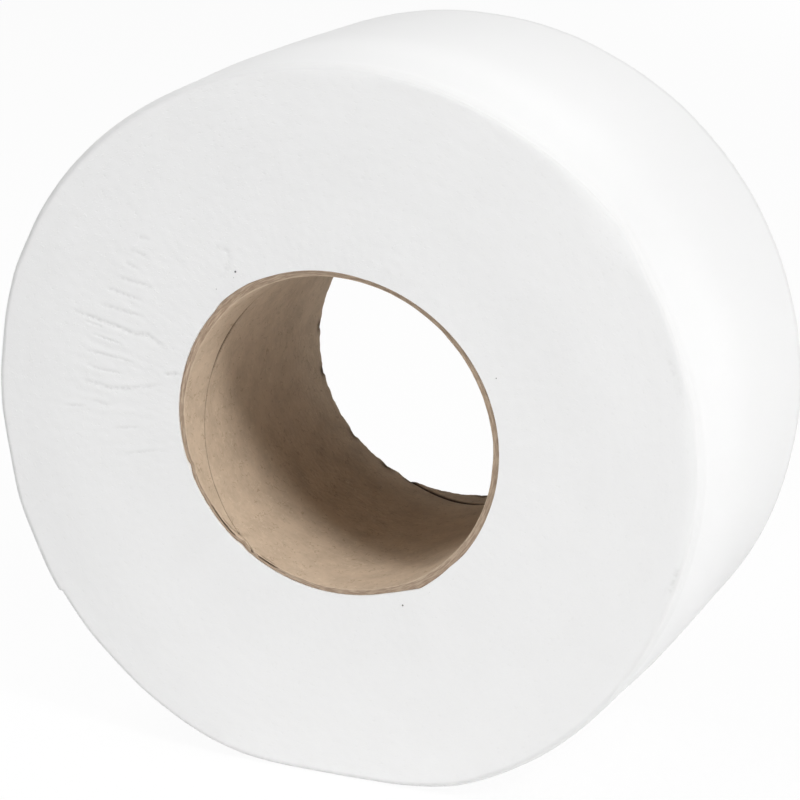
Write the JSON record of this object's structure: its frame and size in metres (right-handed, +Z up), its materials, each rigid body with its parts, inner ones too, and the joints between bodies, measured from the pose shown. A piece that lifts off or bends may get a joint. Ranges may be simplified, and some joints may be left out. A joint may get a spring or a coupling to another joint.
{
  "type": "toilet paper roll",
  "caption": "Wide soft white toilet paper roll wound on a kraft card core, lying on its round side with a small flat spot; the open core takes a dispenser spindle.",
  "frame": {"origin": "centre of the flat spot on the floor, under the middle of the roll", "axes": "+Z up from the floor; +Y along the core's axis, away from the end face seen in the picture; +X to the right as seen from that end"},
  "size_m": [0.195, 0.085, 0.1918],
  "materials": {
    "tissue": "soft matt tissue",
    "kraft_card": "matt kraft card"
  },
  "bodies": {
    "root": {"wound_paper": "tissue", "core_tube": "kraft_card"}
  },
  "joints": []
}
